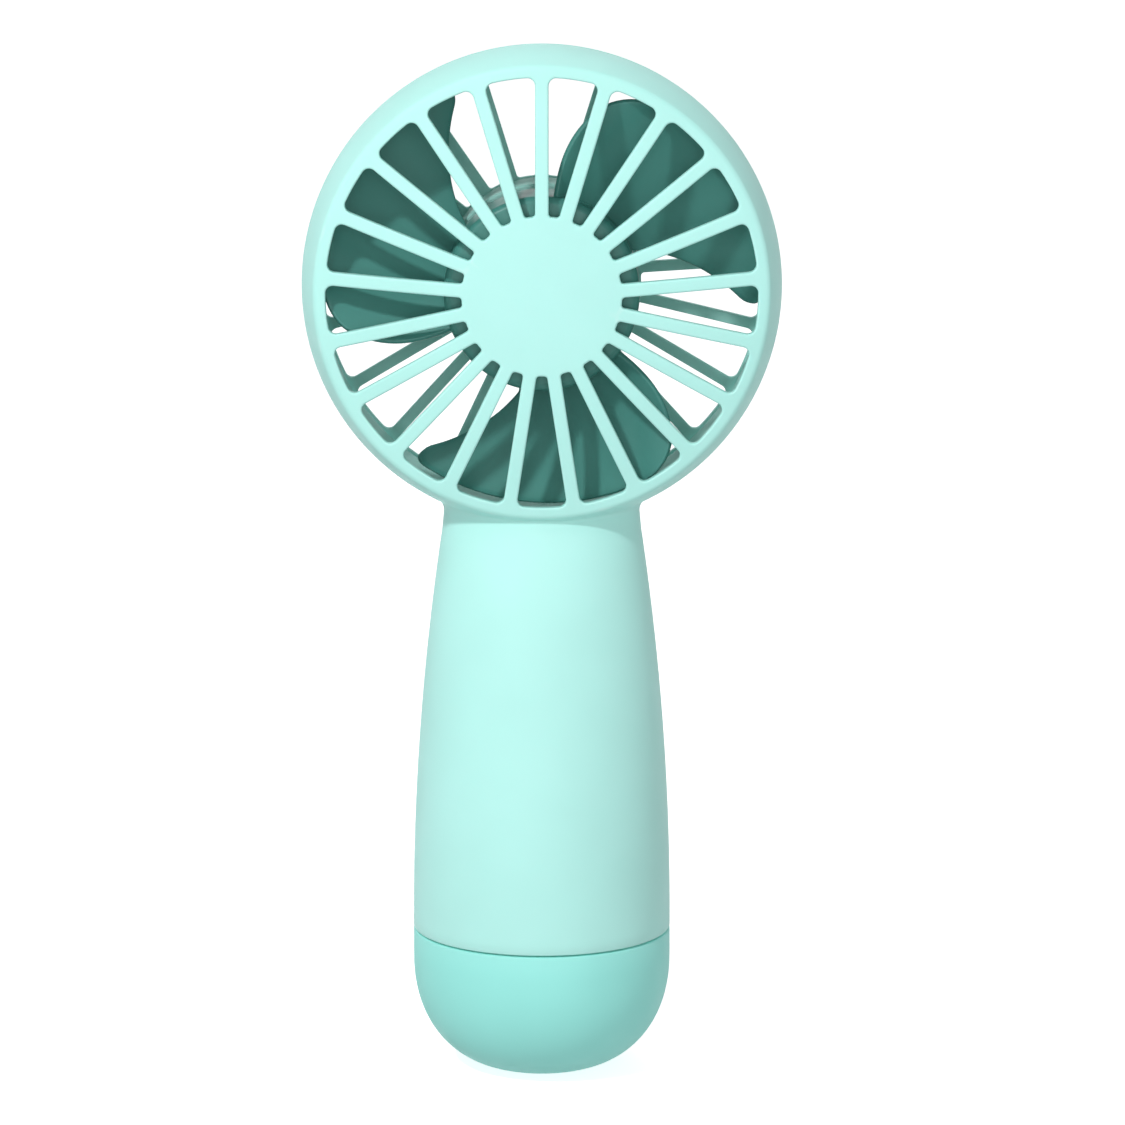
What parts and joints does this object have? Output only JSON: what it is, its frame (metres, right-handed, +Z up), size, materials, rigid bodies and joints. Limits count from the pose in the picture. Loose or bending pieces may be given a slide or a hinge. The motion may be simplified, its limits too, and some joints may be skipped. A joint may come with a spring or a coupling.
{
  "type": "handheld electric fan",
  "caption": "Battery hand fan: a round grilled head with a bladed impeller, on a rounded handle that widens down to a screw-on base cap.",
  "frame": {"origin": "middle of the flat under the base cap, on the handle's axis", "axes": "+Z up along the handle, the front grille faces -Y, +X to the right seen from the front"},
  "size_m": [0.0828, 0.0452, 0.18],
  "materials": {
    "mint_shell": "smooth matte moulding",
    "cap": "smooth matte moulding, a little darker",
    "impeller": "satin moulding",
    "steel": "bright machined",
    "brass": "plain",
    "copper": "enamelled wire",
    "magnet": "bonded ferrite",
    "rubber": "plain",
    "circuit_board": "solder resist",
    "cell": null,
    "carrier": "plain moulding",
    "dark_plastic": "plain moulding",
    "lens": "clear moulding",
    "red_wire": "silicone sleeve",
    "black_wire": "silicone sleeve"
  },
  "bodies": {
    "housing": {"battery_carrier": "carrier", "battery_cell": "cell", "bearing_tube": "brass", "board_screw_1": "steel", "board_screw_2": "steel", "control_board": "circuit_board", "front_bearing": "steel", "front_shell": "mint_shell", "indicator_led": "lens", "indicator_lens": "lens", "motor_base": "steel", "motor_board": "circuit_board", "motor_screw_1": "steel", "motor_screw_2": "steel", "motor_screw_3": "steel", "motor_wire_black": "black_wire", "motor_wire_red": "red_wire", "negative_strip": "brass", "positive_contact": "brass", "rear_bearing": "steel", "rear_shell": "mint_shell", "seal_ring": "rubber", "shell_screw_1": "steel", "shell_screw_2": "steel", "shell_screw_3": "steel", "shell_screw_4": "steel", "stator_coil_1": "copper", "stator_coil_2": "copper", "stator_coil_3": "copper", "stator_coil_4": "copper", "stator_coil_5": "copper", "stator_coil_6": "copper", "stator_core": "steel", "switch_body": "dark_plastic", "usb_shell": "steel", "usb_tongue": "dark_plastic"},
    "impeller": {"impeller": "impeller", "rotor_can": "steel", "ring_magnet": "magnet", "motor_shaft": "steel", "shaft_clip": "steel"},
    "power_button": {"power_button": "mint_shell", "switch_plunger": "dark_plastic"},
    "cap_spring": {"contact_disc": "steel", "contact_spring": "steel"},
    "base_cap": {"base_cap": "cap"}
  },
  "joints": [
    {"name": "impeller_spin", "type": "hinge", "parent": "housing", "child": "impeller", "pos_m": [0, 0, 0.1386], "axis": [0, 1, 0], "continuous": true},
    {"name": "button_press", "type": "slide", "parent": "housing", "child": "power_button", "axis": [0, -1, 0], "range_m": [0, 0.0006], "stiffness_N_per_m": 1500},
    {"name": "cap_travel", "type": "slide", "parent": "housing", "child": "cap_spring", "axis": [0, 0, -1], "range_m": [0, 0.0048]},
    {"name": "cap_twist", "type": "hinge", "parent": "cap_spring", "child": "base_cap", "pos_m": [0, 0, 0], "axis": [0, 0, -1], "range_deg": [0, 541]}
  ],
  "couplings": [
    {"joint": "cap_twist", "follows": "cap_travel", "rad_per_m": 1963.5}
  ]
}
